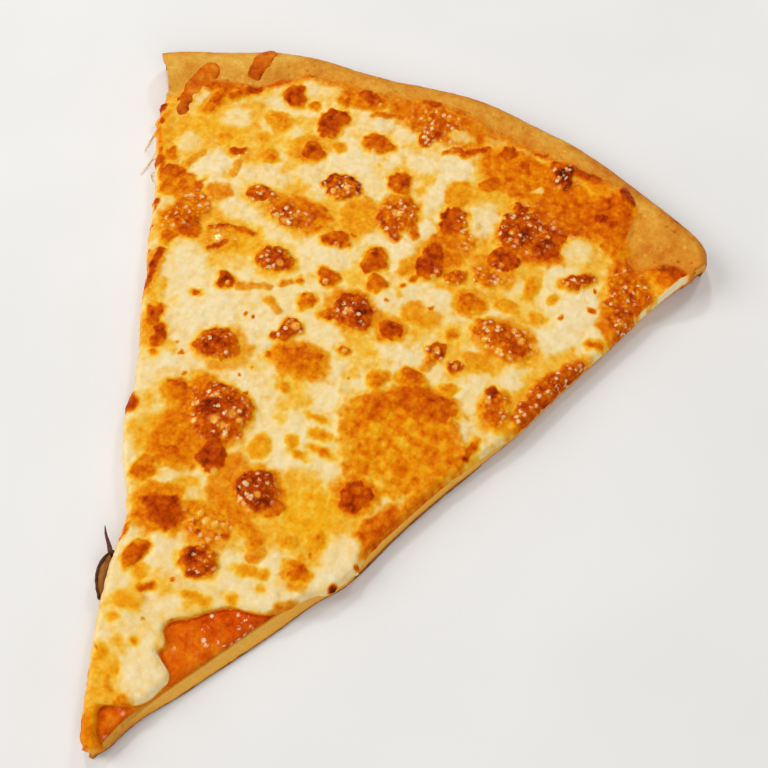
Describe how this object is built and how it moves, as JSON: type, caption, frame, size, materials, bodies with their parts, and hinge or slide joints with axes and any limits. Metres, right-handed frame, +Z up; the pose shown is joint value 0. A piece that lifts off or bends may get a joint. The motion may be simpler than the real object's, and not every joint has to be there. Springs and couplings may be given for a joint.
{
  "type": "cheese pizza slice",
  "caption": "Wedge of baked cheese pizza: thin dough with a raised browned rim, a sauce layer, blistered melted cheese and a charred flake at one cut.",
  "frame": {"origin": "middle of the footprint, on the surface that the slice lies on", "axes": "+Y from the tip to the rim, +X across the slice, +Z up"},
  "size_m": [0.172, 0.2042, 0.0111],
  "materials": {
    "crust": "baked bread, matte, browned on its underside and outer edge",
    "sauce": "moist tomato sauce",
    "cheese": "melted cheese with browned blisters and an oily shine",
    "browned_cheese": "browned cheese, oily",
    "char": "charred crisp flake"
  },
  "bodies": {
    "root": {"crust": "crust", "sauce": "sauce", "cheese": "cheese", "cheese_strip_left": "browned_cheese", "cheese_strip_right": "browned_cheese", "charred_flake": "char"}
  },
  "joints": []
}
